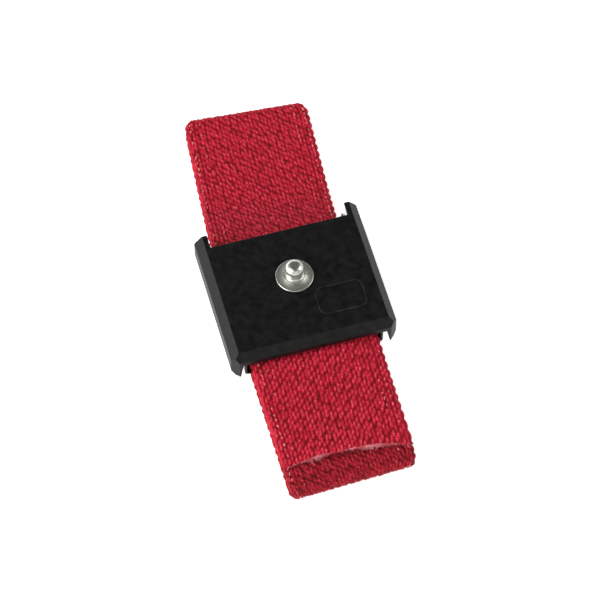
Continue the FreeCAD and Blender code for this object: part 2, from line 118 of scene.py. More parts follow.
# Values given for 1 are the outer side's, for -1 the inner side's.
SLANT = {1: 0.28, -1: 0.15}    # lean of a stitch, as a slope
HALF_WIDE = {1: 0.34, -1: 0.35}
HALF_LONG = {1: 0.72, -1: 0.76}
ROUNDNESS = 2.0                # 2 makes each stitch an ellipse, more makes it squarer
CREST = 0.5                    # power that shapes a stitch from its edge to its crest
PLY_DEPTH = 0.2                # depth of the line between a stitch's two plies, as a share of its height
PLY_HALF = 0.1
WALE_ROW = {1: 1.3, -1: 1.4}   # length of one stitch along the webbing
RELIEF = 0.25                  # from the gaps to the crests
UNEVEN = {1: 0.85, -1: 0.75}   # share of the height and place spreads that each side has
HEIGHT_SPREAD = 0.13
PLACE_SPREAD = 0.15
TONE_SPREAD = 0.24             # the same on both sides
BRICK = 0.5                    # alternate wales are set back by this share of a stitch
SELVEDGE = 3                   # wales in each edge band
EDGE_SLANT = 0.5               # share of the lean that its stitches have
GROOVE_HALF = 0.2              # half width of the groove beside the edge band
GROOVE_DEPTH = 0.6             # share of the stitches' height that it takes away
EDGE_ROW = 1.9                 # pitch of the bumps down each edge
EDGE_REACH = 0.5               # they reach this far in from the edge
EDGE_BEAD = 1.6                # and this far out, against a stitch
EDGE_SHADE = 0.6               # their colour takes this share of the gaps' painted shade, as painted shade round the edges
EDGE_OUT_OF_STEP = 0.9         # turn, in radians, between the two edges' bumps
EDGE_BLUNT = 0.8               # power that shapes a bump

# Painted shade on the outer side, before the near fold and behind the cover: y, share of its colour that is
# left.
PAINTED_SHADE = [(-38.5, 0.62), (-36.0, 1.0), (8.0, 0.76), (16.0, 0.82), (26.0, 1.0)]

# ---- yarn, thread and fibres
# Lines of dashes on each side: inset, chance, half length, thickness.
YARN_LINES = {
    1: [(1.3, 1.5, 0.3, 0.15), (3.4, 0.6, 0.26, 0.12)],
    -1: [(1.8, 2.0, 0.3, 0.16), (3.0, 0.6, 0.26, 0.12)],
}
YARN_PITCH = 1.4               # of the dashes along a line
YARN_LIFT = -0.11              # height of a dash's middle from the stitches' crests
YARN_DIP = 0.15
YARN_WANDER = 2.6              # rows over which the dashes come and go
YARN_SWING = 0.45              # share of their chance that this changes
YARN_LEAN = 0.08               # a dash's two ends lie this far to either side of its line
YARN_PLACE_SPREAD = 0.12       # in rows
YARN_LENGTH_SPREAD = 0.2       # as a share of a dash's length
YARN_INSET_SPREAD = 0.05
YARN_THICKNESS = (0.6, 1.15)   # range of a dash's thickness, as a share of its line's
YARN_TAPER = np.array([0.45, 0.9, 1.0, 0.9, 0.45])
FIBRE_R = 0.03
FIBRE_BEND = 0.5
FIBRE_ROOT = 0.4               # share of a fibre's length that is buried in the webbing
FIBRE_TAPER = np.array([1.0, 1.0, 1.0, 0.9, 0.75, 0.5])
FIBRE_LEVELS = (-0.6, 0.1)     # range of height in which fibres start, from the middle of the thickness
FIBRE_MARGIN = 0.5             # none start nearer to an edge than this
FIBRE_SPLAY = 0.9              # spread of their lean to the sides
FIBRE_RISE = (-0.3, 0.5)       # middle and spread of their lean off the webbing
FIBRE_SPARSE = 0.08            # share of fibres that is left outside the tufts
FIBRE_SPARSE_LENGTH = 0.55     # and their length, as a share
FIBRE_SHORTEST = 0.35          # the shortest fibre, as a share of the longest
TAIL_FIBRES = 1200
TAIL_FIBRE_LENGTH = 0.75
TAIL_TUFTS = [(-6.1, 2.2), (4.9, 3.4)]
HEM_FIBRES = 160
HEM_FIBRE_LENGTH = 0.8
STITCH_ROWS = (5.2, 6.0)       # the bar tack's rows, from the anchor bar
STITCH_COUNT = 15
STITCH_SPAN = 21.0
STITCH_LENGTH = 1.2
STITCH_LEAN = math.radians(24)
STITCH_LIFT = 0.1
STITCH_ARCH = 0.25
STITCH_SINK = 0.8              # share of the arch that lies below the thread's place
STITCH_TWIST = 5.0
STITCH_STEPS = 9
PLY_R = 0.1
PLY_SPREAD = 0.8               # distance of the plies from the stitch's middle, as a share of PLY_R
TUBE_AXIS = (0.36, 0.48, 0.8)  # sets how the rings of yarn, fibre and thread are turned

# ---- metal and plastic
SHADED_END = 1.2                # the back plate's near ends are painted black this far in, as painted shade under the cover
SHADED_END_FADE = 0.8
RUBBED_FROM, RUBBED_TO = 0.07, 0.02  # the mark's rubbed colour comes in between these depths below its top

# ---- camera
CAMERA_TURN, CAMERA_RISE = 15.88, 58.69  # degrees
CAMERA_TARGET = (1.25, -1.3, 0)
CAMERA_DISTANCE = 0.62         # metres
CAMERA_LENS = 182.4


def route_corners():
    """The webbing's centre line as (y, z, radius) corners, from the sewn short end to the tail's cut end."""
    fold_r = (UPPER_Z - LOWER_Z) / 2
    far_y = STRAP_HIGH[1] - WEB_T / 2
    near_y = STRAP_LOW[1] + WEB_T / 2
    anchor_back = ANCHOR_Y - WRAP_R
    adjuster_back = ADJUSTER_Y + WRAP_R
    hem_end = ANCHOR_Y + HEM_LENGTH_Y
    tail_end = STRAP_LOW[1] + TAIL_CUT_IN
    tail_flat_z = UPPER_Z + WEB_T + LAYER_GAP
    far_top = BAR_Z + WRAP_R / math.cos(FAR_SLOPE)
    far_fall = math.tan(FAR_SLOPE)
    hem_low = BAR_Z - WRAP_R / math.cos(HEM_SLOPE)
    hem_high = far_top - (WEB_T + LAYER_GAP) / math.cos(FAR_SLOPE)
    hem_bend = (hem_high - hem_low) / (far_fall + math.tan(HEM_SLOPE))
    tail_top = BAR_Z + WRAP_R / math.cos(TAIL_SLOPE)
    tail_fall = math.tan(TAIL_SLOPE)
    return [
        (hem_end, hem_high - far_fall * HEM_LENGTH_Y, 0),
        (ANCHOR_Y + hem_bend, hem_high - far_fall * hem_bend, HEM_BEND_R),
        (anchor_back, hem_low - math.tan(HEM_SLOPE) * WRAP_R, WRAP_R),
        (anchor_back, far_top + far_fall * WRAP_R, WRAP_R),
        (ANCHOR_Y + (far_top - UPPER_Z) / far_fall, UPPER_Z, SLOPE_BEND_R),
        (far_y, UPPER_Z, fold_r),
        (far_y, LOWER_Z, fold_r),
        (near_y, LOWER_Z, fold_r),
        (near_y, UPPER_Z, fold_r),
        (adjuster_back, UPPER_Z, WRAP_R),
        (adjuster_back, tail_top + tail_fall * WRAP_R, WRAP_R),
        (ADJUSTER_Y - (tail_top - tail_flat_z) / tail_fall, tail_flat_z, SLOPE_BEND_R),
        (tail_end, tail_flat_z, 0),
    ]


def route_pieces(corners):
    """Straight runs and tangent arcs of a route, each as (y, z, heading, length, turn)."""
    pieces = []
    here = np.array(corners[0][:2])
    for before, corner, after in zip(corners, corners[1:], corners[2:]):
        heading_in = math.atan2(corner[1] - before[1], corner[0] - before[0])
        heading_out = math.atan2(after[1] - corner[1], after[0] - corner[0])
        turn = (heading_out - heading_in + math.pi) % (2 * math.pi) - math.pi
        setback = corner[2] * math.tan(abs(turn) / 2)
        start = np.array(corner[:2]) - setback * np.array([math.cos(heading_in), math.sin(heading_in)])
        pieces.append((*here, heading_in, math.dist(here, start), 0.0))
        pieces.append((*start, heading_in, corner[2] * abs(turn), turn))
        here = np.array(corner[:2]) + setback * np.array([math.cos(heading_out), math.sin(heading_out)])
    pieces.append((*here, heading_out, math.dist(here, corners[-1][:2]), 0.0))
    return pieces


ROUTE_CORNERS = route_corners()
ROUTE = route_pieces(ROUTE_CORNERS)
ROUTE_LENGTH = sum(piece[3] for piece in ROUTE)


def route_at(s):
    """y, z and heading of the centre line at distances s along it."""
    s = np.clip(s, 0, ROUTE_LENGTH)
    y, z, heading = np.zeros_like(s), np.zeros_like(s), np.zeros_like(s)
    begun = 0.0
    for y0, z0, h0, length, turn in ROUTE:
        here = (s >= begun) & (s <= begun + length)
        along = s[here] - begun
        if turn:
            bend = turn / length
            heading[here] = h0 + bend * along
            y[here] = y0 + (np.sin(heading[here]) - math.sin(h0)) / bend
            z[here] = z0 - (np.cos(heading[here]) - math.cos(h0)) / bend
        else:
            heading[here] = h0
            y[here] = y0 + math.cos(h0) * along
            z[here] = z0 + math.sin(h0) * along
        begun += length
    return y, z, heading


def surface_marks(side):
    """Distances along the centre line and along one side, at the ends of the route's pieces."""
    centre, surface = [0.0], [0.0]
    for _, _, _, length, turn in ROUTE:
        centre.append(centre[-1] + length)
        surface.append(surface[-1] + length - side * turn * WEB_T / 2)
    return centre, surface


def surface_length(s, side):
    """Distance along one side of the webbing, longer outside a bend and shorter inside it."""
    centre, surface = surface_marks(side)
    return np.interp(s, centre, surface)


def sides_at(y):
    """Left and right edge of the webbing at y, drawn in where a fold's corners are rounded."""
    ys, lefts, rights = zip(*OUTLINE)
    left, right = np.interp(y, ys, lefts), np.interp(y, ys, rights)
    drawn_in = 0
    for to_fold, radius in ((STRAP_HIGH[1] - y, FAR_CORNER_R), (y - STRAP_LOW[1], NEAR_CORNER_R)):
        share = np.clip(1 - (to_fold - WEB_T / 2) / radius, 0, 1)
        drawn_in = drawn_in + CORNER_DEPTH * radius * (1 - np.sqrt(1 - share ** 2))
    return left + drawn_in, right - drawn_in


def adjuster_wrap():
    """Distance along the webbing at which it starts round the adjuster bar."""
    wrap_start = ROUTE_CORNERS.index(next(c for c in ROUTE_CORNERS[4:] if c[2] == WRAP_R))
    return sum(piece[3] for piece in ROUTE[:2 * wrap_start - 1])


def half_round(width):
    """Length of one side of the webbing's section, from the middle of one edge to the middle of the other."""
    return width - WEB_T + math.pi * WEB_T / 2


def web_points(share, side, s, lift):
    """Points on the webbing: share across one side (0 left, 1 right), side +1 or -1, s along, lift off it."""
    y, z, heading = route_at(s)
    left, right = sides_at(y)
    width = right - left
    r = WEB_T / 2
    a = share * half_round(width)
    quarter = math.pi * r / 2
    turn_in = np.clip(a / r, 0, math.pi / 2)
    flat = np.clip(a - quarter, 0, width - 2 * r)
    turn_out = np.clip((a - quarter - width + 2 * r) / r, 0, math.pi / 2)
    tilt = turn_in - math.pi / 2 + turn_out
    x = left + r * (1 - np.cos(turn_in)) + flat + r * np.sin(turn_out) + np.sin(tilt) * lift
    n = side * (r * (np.sin(turn_in) - 1 + np.cos(turn_out)) + np.cos(tilt) * lift)
    y = y - np.sin(heading) * n
    z = z + np.cos(heading) * n
    ys, leans = zip(*LEAN)
    near_cut = np.clip(1 - (ROUTE_LENGTH - s) / CUT_REACH, 0, 1) ** 2
    at_cut = CUT_SET_BACK + CUT_TILT * x + CUT_BOW * x ** 2
    y = y + np.interp(y, ys, leans) * x * (1 - near_cut) + at_cut * near_cut
    return np.stack([x, y, z], axis=-1)


def knit_tables(side, rng):
    """Each stitch's own height, shift across and along, and tone."""
    rows = int(surface_length(ROUTE_LENGTH, side) / WALE_ROW[side]) + 4
    shape = (rows, COLUMNS + 4)
    tall = 1 + HEIGHT_SPREAD * UNEVEN[side] * rng.standard_normal(shape)
    shift = PLACE_SPREAD * UNEVEN[side] * rng.standard_normal((2, *shape))
    tones = np.clip(0.5 + TONE_SPREAD * rng.standard_normal(shape), 0, 1)
    return tall, shift, tones


def knit_relief(share, side, s, rng):
    """Height of the knit, its share of the crests' colour (painted shade in the gaps, a painted highlight on
    the crests), and each stitch's own tone.

    Height is 0 in the gaps, about 1 on the crests and up to EDGE_BEAD down the edges.
    """
    columns = COLUMNS
    pitch = half_round(FLAT_WIDTH) / columns
    tall, shift, tones = knit_tables(side, rng)
    across, along = share * columns, surface_length(s, side) / WALE_ROW[side]
    column, row = np.floor(across).astype(int), np.floor(along).astype(int)
    relief, tone = np.zeros_like(s), np.zeros_like(s)
    for dc in (-1, 0, 1):
        for dr in (-1, 0, 1):
            c, r = column + dc, row + dr
            ci, ri = np.clip(c + 2, 0, columns + 3), np.clip(r + 2, 0, len(tall) - 1)
            edge = (c < SELVEDGE) | (c >= columns - SELVEDGE)
            p = (across - c - 0.5 - shift[0, ri, ci]) * pitch
            q = (along - r - 0.5 - BRICK * (c % 2) - shift[1, ri, ci]) * WALE_ROW[side]
            p = p + np.where(edge, EDGE_SLANT, 1.0) * SLANT[side] * q
            inside = 1 - np.abs(p / HALF_WIDE[side]) ** ROUNDNESS - np.abs(q / HALF_LONG[side]) ** ROUNDNESS
            height = np.clip(inside, 0, None) ** CREST * tall[ri, ci]
            height = height * (1 - PLY_DEPTH * np.exp(-((p - PLY_HALF) / PLY_HALF) ** 2))
            tone = np.where(height > relief, tones[ri, ci], tone)
            relief = np.maximum(relief, height)
    from_edge = np.minimum(across, columns - across) * pitch
    groove = np.exp(-((from_edge - SELVEDGE * pitch) / GROOVE_HALF) ** 2)
    relief = relief * (1 - GROOVE_DEPTH * groove)
    out_of_step = np.where(share > 0.5, EDGE_OUT_OF_STEP, 0.0)
    bead = EDGE_BEAD * np.abs(np.sin(math.pi * s / EDGE_ROW + out_of_step)) ** EDGE_BLUNT
    at_edge = np.exp(-(from_edge / EDGE_REACH) ** 2)
    height = np.clip(relief * (1 - at_edge) + bead * at_edge, 0, EDGE_BEAD)
    # the edge bands are painted darker here, as painted shade
    return height, np.clip(height, 0, 1) * (1 - EDGE_SHADE * at_edge), tone


def ring_shares(blend):
    """Where each mesh point sits round the section, 0 to 1 on the outer side and 1 to 2 on the inner side."""
    fine = np.arange(FINE_POINTS) / FINE_POINTS
    coarse = np.arange(COARSE_POINTS) / COARSE_POINTS
    outer = np.concatenate([fine, 1 + coarse])
    inner = np.concatenate([coarse, 1 + fine])
    return outer * (1 - blend) + inner * blend


def new_mesh(name, points, faces, material, smooth=True):
    """Object from points in millimetres."""
    mesh = bpy.data.meshes.new(name)
    mesh.from_pydata((np.asarray(points) * MM).tolist(), [], faces)
    mesh.materials.append(material)
    mesh.polygons.foreach_set("use_smooth", [smooth] * len(mesh.polygons))
    mesh.update()
    piece = bpy.data.objects.new(name, mesh)
    bpy.context.scene.collection.objects.link(piece)
    return piece


def add_values(piece, name, values):
    layer = piece.data.attributes.new(name, "FLOAT", "POINT")
    layer.data.foreach_set("value", np.asarray(values, np.float32).ravel())


def mesh_rows():
    """Distances along the webbing of its mesh's rows, closer together where it shows."""
    even = np.linspace(0, ROUTE_LENGTH, ROUTE_SAMPLES)
    y, z, _ = route_at(even)
    underneath = z < UPPER_Z - 1
    under_tail = (z < UPPER_Z + 0.1) & (even > ROUTE_LENGTH / 2) & (y > STRAP_LOW[1] + 2 * TAIL_CUT_IN)
    density = np.where(underneath | under_tail, 1 / HIDDEN_STEP, 1 / ROW_STEP)
    count = np.concatenate([[0], np.cumsum(density[1:] * np.diff(even))])
    return np.interp(np.arange(int(count[-1]) + 1) / int(count[-1]) * count[-1], count, even)


def make_webbing(material):
    """The whole ribbon as one closed mesh with the knit's relief."""
    rng = np.random.default_rng(11)
    along = mesh_rows()
    rows = len(along)
    ring = FINE_POINTS + COARSE_POINTS
    blend = np.clip((along - adjuster_wrap() + SWAP_BEFORE) / SWAP_LENGTH, 0, 1)
    around = np.array([ring_shares(b) for b in blend])
    s = np.repeat(along[:, None], ring, axis=1)
    points = np.zeros((rows, ring, 3))
    relief, tone, painted_shade = np.zeros((3, rows, ring))
    for side in (1, -1):
        share = around if side == 1 else 2 - around
        here = (around <= 1) if side == 1 else (around > 1)
        height, relief[here], tone[here] = knit_relief(share[here], side, s[here], rng)
        to_end = np.minimum(s[here], ROUTE_LENGTH - s[here])
        worn = (WORN_DEPTH if side == -1 else 0) * np.clip(1 - to_end / WORN_REACH, 0, 1) ** 2
        points[here] = web_points(share[here], side, s[here], RELIEF * (height - 1) - worn)
        # painted shade along y on the outer side; the inner side keeps its full colour
        painted_shade[here] = np.interp(route_at(s[here])[0], *zip(*PAINTED_SHADE)) if side == 1 else 1
    faces = []
    for row in range(rows - 1):
        for k in range(ring):
            a, b = row * ring + k, row * ring + (k + 1) % ring
            faces.append((a, b, b + ring, a + ring))
    faces.append(tuple(range(ring))[::-1])
    faces.append(tuple(range((rows - 1) * ring, rows * ring)))
    piece = new_mesh("webbing", points.reshape(-1, 3), faces, material)
    # relief carries the colour share that paints the knit's shade and highlights
    add_values(piece, "relief", relief)
    add_values(piece, "tone", tone)
    add_values(piece, "painted_shade", painted_shade)
    uv = piece.data.uv_layers.new(name="weave")
    across = np.append(around, np.full((rows, 1), 2.0), axis=1) * half_round(FLAT_WIDTH)
    corners = np.zeros((rows - 1, ring, 4, 2))
    for corner, (dr, dk) in enumerate([(0, 0), (0, 1), (1, 1), (1, 0)]):
        corners[:, :, corner, 0] = across[dr:rows - 1 + dr, dk:ring + dk]
        corners[:, :, corner, 1] = along[dr:rows - 1 + dr, None]
    flat = np.zeros((len(piece.data.loops), 2), np.float32)
    flat[:corners.size // 2] = corners.reshape(-1, 2)
    uv.data.foreach_set("uv", flat.ravel())
    return piece


def tube(path, radii, sides, start):
    """Ring points and faces of a closed tube along a path; start is the index of its first point."""
    path = np.asarray(path, float)
    along = np.gradient(path, axis=0)
    along /= np.linalg.norm(along, axis=1)[:, None]
    level = np.cross(along, TUBE_AXIS)
    level /= np.linalg.norm(level, axis=1)[:, None]
    upright = np.cross(along, level)
    angles = np.arange(sides) * 2 * math.pi / sides
    points = (path[:, None] + np.asarray(radii)[:, None, None] * (
        np.cos(angles)[None, :, None] * level[:, None] + np.sin(angles)[None, :, None] * upright[:, None]))
    faces = []
    for ring in range(len(path) - 1):
        for k in range(sides):
            a, b = start + ring * sides + k, start + ring * sides + (k + 1) % sides
            faces.append((a, b, b + sides, a + sides))
    faces.append(tuple(range(start, start + sides))[::-1])
    faces.append(tuple(range(start + (len(path) - 1) * sides, start + len(path) * sides)))
    return points.reshape(-1, 3), faces


def tubes_mesh(name, tubes, sides, material):
    """One object of many closed tubes, each a (path, radii) pair."""
    points, faces, count = [], [], 0
    for path, radii in tubes:
        ring_points, ring_faces = tube(path, radii, sides, count)
        points.append(ring_points)
        faces += ring_faces
        count += len(ring_points)
    return new_mesh(name, np.concatenate(points), faces, material)


def make_yarn(material):
    """Pale conductive yarn that surfaces as a dash in most rows, in lines beside both edges."""
    rng = np.random.default_rng(23)
    full = half_round(FLAT_WIDTH)
    reach = np.array([-1.0, -0.6, 0.0, 0.6, 1.0])
    tubes = []
    for side in (1, -1):
        centre, surface = surface_marks(side)
        for inset, chance, half_long, thickest in YARN_LINES[side]:
            for left in (True, False):
                phase = rng.uniform(0, 2 * math.pi)
                for row in range(int(surface[-1] / YARN_PITCH)):
                    here = 1 - YARN_SWING + YARN_SWING * math.sin(row / YARN_WANDER + phase)
                    thick = thickest * rng.uniform(*YARN_THICKNESS)
                    if rng.random() > chance * here:
                        continue
                    place = (row + 0.5 + YARN_PLACE_SPREAD * rng.standard_normal()) * YARN_PITCH
                    middle = np.interp(place, surface, centre)
                    length = half_long * (1 + YARN_LENGTH_SPREAD * rng.standard_normal())
                    share = (inset + YARN_INSET_SPREAD * rng.standard_normal() + YARN_LEAN * reach) / full
                    share = share if left else 1 - share
                    lift = YARN_LIFT - YARN_DIP * np.abs(reach) ** 2.5
                    path = web_points(share, side, middle + length * reach, lift)
                    tubes.append((path, thick * YARN_TAPER))
    return tubes_mesh("conductive_yarn", tubes, 6, material)


def fibre(start, heading, rng, length, thick):
    """A bent hair from start, as a tube's path and radii."""
    bend = FIBRE_BEND * rng.standard_normal(3)
    steps = np.linspace(-FIBRE_ROOT, 1, len(FIBRE_TAPER))[:, None]
    path = start + length * (steps * heading + np.clip(steps, 0, None) ** 2 * bend)
    return path, thick * FIBRE_TAPER


def cut_end_fibres(at_tail, count, longest, tufts, rng):
    """Frayed fibres across one cut end, more of them in the tufts, which are (middle x, half width)."""
    s_end, outward = (ROUTE_LENGTH, 1.0) if at_tail else (0.0, -1.0)
    y, z, heading = (float(v[0]) for v in route_at(np.array([s_end])))
    forward = outward * np.array([0, math.cos(heading), math.sin(heading)])
    normal = np.array([0, -math.sin(heading), math.cos(heading)])
    left, right = sides_at(np.array([y]))
    tubes = []
    for _ in range(count):
        x = rng.uniform(float(left[0]) + FIBRE_MARGIN, float(right[0]) - FIBRE_MARGIN)
        nearness = [math.exp(-((x - middle) / half) ** 2) for middle, half in tufts]
        thick_here = max(nearness, default=0)
        share = (x - float(left[0])) / float(right[0] - left[0])
        level = rng.uniform(*FIBRE_LEVELS)
        foot = web_points(np.array([share]), 1, np.array([s_end]), np.array([level - WEB_T / 2]))[0]
        sideways = FIBRE_SPLAY * rng.standard_normal() * np.array([1, 0, 0])
        lean = forward + sideways + rng.normal(*FIBRE_RISE) * normal
        length = longest * rng.uniform(FIBRE_SHORTEST, 1)
        length *= FIBRE_SPARSE_LENGTH + (1 - FIBRE_SPARSE_LENGTH) * thick_here
        if rng.random() < FIBRE_SPARSE + (1 - FIBRE_SPARSE) * thick_here:
            tubes.append(fibre(foot, lean / np.linalg.norm(lean), rng, length, FIBRE_R))
    return tubes


def make_fray(material):
    rng = np.random.default_rng(37)
    tubes = cut_end_fibres(True, TAIL_FIBRES, TAIL_FIBRE_LENGTH, TAIL_TUFTS, rng)
    tubes += cut_end_fibres(False, HEM_FIBRES, HEM_FIBRE_LENGTH, [], rng)
    return tubes_mesh("cut_end_fibres", tubes, 4, material)


def stitch_paths(centre, along, up):
    """The two plies of one stitch that lies along a unit vector and dips into the webbing at both ends."""
    across = np.cross(along, up)
    steps = np.linspace(-1, 1, STITCH_STEPS)
    arch = 1 - np.abs(steps) ** 3
    plies = []
    for phase in (0, math.pi):
        twist = phase + steps * STITCH_TWIST
        line = centre + np.outer(steps * STITCH_LENGTH / 2, along)
        rise = np.outer((arch - STITCH_SINK) * STITCH_ARCH, up)
        wind = np.outer(np.cos(twist), across) + np.outer(np.sin(twist), up)
        path = line + rise + PLY_R * PLY_SPREAD * wind
        plies.append((path, np.full(STITCH_STEPS, PLY_R)))
    return plies


def make_bar_tack(material):
    """Zigzag bar tack of two-ply thread on both faces of the seam."""
    slope = -math.tan(FAR_SLOPE)
    far_top = BAR_Z + WRAP_R / math.cos(FAR_SLOPE)
    up = np.array([0, math.sin(FAR_SLOPE), math.cos(FAR_SLOPE)])
    ahead = np.array([0, math.cos(FAR_SLOPE), -math.sin(FAR_SLOPE)])
    under = 2 * WEB_T + LAYER_GAP
    tubes = []
    for row, from_bar in enumerate(STITCH_ROWS):
        middle = np.array([0, ANCHOR_Y + from_bar, far_top + slope * from_bar])
        for face, depth in ((up, WEB_T / 2), (-up, under - WEB_T / 2)):
            for index in range(STITCH_COUNT):
                lean = STITCH_LEAN * (1 if (index + row) % 2 else -1)
                x = STITCH_SPAN * (index / (STITCH_COUNT - 1) - 0.5)
                along = np.array([math.sin(lean), 0, 0]) + math.cos(lean) * ahead
                centre = middle + np.array([x, 0, 0]) + face * (depth + STITCH_LIFT)
                tubes += stitch_paths(centre, along, face)
    return tubes_mesh("bar_tack_thread", tubes, 6, material)


# ---------------------------------------------------------------- materials
def new_material(name):
    material = bpy.data.materials.new(name)
    material.use_nodes = True
    tree = material.node_tree
    return material, tree, tree.nodes["Principled BSDF"]


def node(tree, kind, **settings):
    """A shader node; settings name its properties, or its inputs when they start with a capital letter."""
    made = tree.nodes.new("ShaderNode" + kind)
    for key, value in settings.items():
        if key[0].isupper():
            made.inputs[key.replace("_", " ")].default_value = value
        else:
            setattr(made, key, value)
    return made


def ramp(tree, source, stops):
    """Colour ramp fed from a value; stops are (place, colour)."""
    made = node(tree, "ValToRGB")
    elements = made.color_ramp.elements
    while len(elements) < len(stops):
        elements.new(0.5)
    for element, (place, colour) in zip(elements, stops):
        element.position = place
        element.color = (*colour, 1)
    tree.links.new(source, made.inputs["Fac"])
    return made.outputs["Color"]


def mapped(tree, source, minimum, maximum):
    """A 0 to 1 value stretched to minimum to maximum."""
    made = node(tree, "MapRange", To_Min=minimum, To_Max=maximum)
    tree.links.new(source, made.inputs["Value"])
    return made.outputs["Result"]


def tinted(tree, colour, factor, blend="MULTIPLY", other=None, amount=1.0):
    """Colour blended with a grey value or another colour."""
    made = node(tree, "Mix", data_type="RGBA", blend_type=blend)
    made.inputs[0].default_value = amount
    tree.links.new(colour, made.inputs[6])
    tree.links.new(factor if other is None else other, made.inputs[7])
    if other is not None:
        tree.links.new(factor, made.inputs[0])
    return made.outputs[2]


def noise(tree, coordinates, scale, detail=3.0, roughness=0.55):
    made = node(tree, "TexNoise", Scale=scale, Detail=detail, Roughness=roughness)
    tree.links.new(coordinates, made.inputs["Vector"])
    return made.outputs["Fac"]


def bump(tree, shader, heights):
    """Stacks (height, distance, strength) bumps on a shader's normal."""
    normal = None
    for height, distance, strength in heights:
        made = node(tree, "Bump", Distance=distance, Strength=strength)
        tree.links.new(height, made.inputs["Height"])
        if normal is not None:
            tree.links.new(normal, made.inputs["Normal"])
        normal = made.outputs["Normal"]
    tree.links.new(normal, shader.inputs["Normal"])


def object_coordinates(tree):
    return node(tree, "TexCoord").outputs["Object"]


def webbing_material():
    material, tree, shader = new_material("red_webbing")
    relief = node(tree, "Attribute", attribute_name="relief").outputs["Fac"]
    tone = node(tree, "Attribute", attribute_name="tone").outputs["Fac"]
    place = object_coordinates(tree)
    weave = node(tree, "UVMap", uv_map="weave").outputs["UV"]
    # Colour by the relief: painted shade in the gaps between stitches, a painted highlight on the crests.
    colour = ramp(tree, relief, [
        (0.0, (0.16, 0.0004, 0.005)), (0.4, (0.38, 0.003, 0.018)),
        (0.8, (0.53, 0.013, 0.036)), (1.0, (0.60, 0.035, 0.07))])
    colour = tinted(tree, colour, mapped(tree, tone, 0.9, 1.1))
    colour = tinted(tree, colour, mapped(tree, noise(tree, place, 160.0), 0.9, 1.1))
    tuft = noise(tree, place, 2600.0, 3.0, 0.6)
    colour = tinted(tree, colour, mapped(tree, tuft, -0.15, 2.15))
    # the outer side's painted shade, which darkens the colour towards a deeper crimson
    painted_shade = node(tree, "Attribute", attribute_name="painted_shade").outputs["Fac"]
    colour = tinted(tree, colour, ramp(tree, painted_shade, [(0.5, (0.5, 0.25, 0.3)), (1.0, (1.0, 1.0, 1.0))]))
    # painted highlights: pale flecks on the crests where the fine noise is high
    highlight_flecks = node(tree, "MapRange", From_Min=0.5, From_Max=0.68, To_Min=0.0, To_Max=0.55)
    tree.links.new(tuft, highlight_flecks.inputs["Value"])
    pale = ramp(tree, relief, [(0.55, (0.5, 0.01, 0.03)), (1.0, (0.72, 0.13, 0.17))])
    colour = tinted(tree, colour, highlight_flecks.outputs["Result"], "MIX", pale)
    tree.links.new(colour, shader.inputs["Base Color"])
    lean = node(tree, "Mapping", Rotation=(0, 0, math.radians(-25)))
    tree.links.new(weave, lean.inputs["Vector"])
    fibres = node(tree, "TexWave", Scale=0.8, Distortion=2.2, Detail=2.0, Detail_Scale=1.5)
    tree.links.new(lean.outputs["Vector"], fibres.inputs["Vector"])
    fuzz = noise(tree, place, 5200.0, 4.0, 0.6)
    bump(tree, shader, [(fibres.outputs["Fac"], 0.0001, 0.45), (fuzz, 0.0001, 0.4)])
    tree.links.new(mapped(tree, fuzz, 0.6, 0.9), shader.inputs["Roughness"])
    shader.inputs["Specular IOR Level"].default_value = 0.2
    shader.inputs["Sheen Weight"].default_value = 0.06
    shader.inputs["Sheen Roughness"].default_value = 0.4
    shader.inputs["Sheen Tint"].default_value = (1.0, 0.5, 0.55, 1)
    return material


def thread_material(name, dark, light, patch_scale, roughness):
    """Twisted yarn or loose fibre: patchy between two colours, with fine strands along it."""
    material, tree, shader = new_material(name)
    place = object_coordinates(tree)
    patches = noise(tree, place, patch_scale, 3.0, 0.6)
    tree.links.new(ramp(tree, patches, [(0.35, dark), (0.65, light)]), shader.inputs["Base Color"])
    strands = noise(tree, place, 9000.0, 3.0, 0.6)
    tree.links.new(mapped(tree, strands, roughness - 0.12, roughness + 0.12), shader.inputs["Roughness"])
    bump(tree, shader, [(strands, 0.00004, 0.4)])
    shader.inputs["Specular IOR Level"].default_value = 0.3
    return material


def plastic_material(top):
    """Black plastic, rubbed paler on the raised mark, whose own top is at height top."""
    material, tree, shader = new_material("black_moulded_plastic")
    place = object_coordinates(tree)
    mottle = noise(tree, place, 700.0, 5.0, 0.65)
    grain = noise(tree, place, 9000.0, 3.0, 0.6)
    colour = ramp(tree, mottle, [(0.3, (0.0015, 0.0017, 0.0016)), (0.7, (0.0100, 0.0102, 0.0101))])
    height = node(tree, "SeparateXYZ")
    tree.links.new(place, height.inputs[0])
    raised = node(tree, "MapRange", From_Min=top - RUBBED_FROM * MM, From_Max=top - RUBBED_TO * MM)
    tree.links.new(height.outputs["Z"], raised.inputs["Value"])
    rubbed = ramp(tree, mottle, [(0.3, (0.006, 0.006, 0.006)), (0.7, (0.032, 0.032, 0.032))])
    colour = tinted(tree, colour, raised.outputs["Result"], "MIX", rubbed)
    tree.links.new(colour, shader.inputs["Base Color"])
    tree.links.new(mapped(tree, mottle, 0.34, 0.58), shader.inputs["Roughness"])
    bump(tree, shader, [(grain, 0.00003, 0.3), (mottle, 0.00008, 0.1)])
    shader.inputs["Specular IOR Level"].default_value = 0.17
    return material


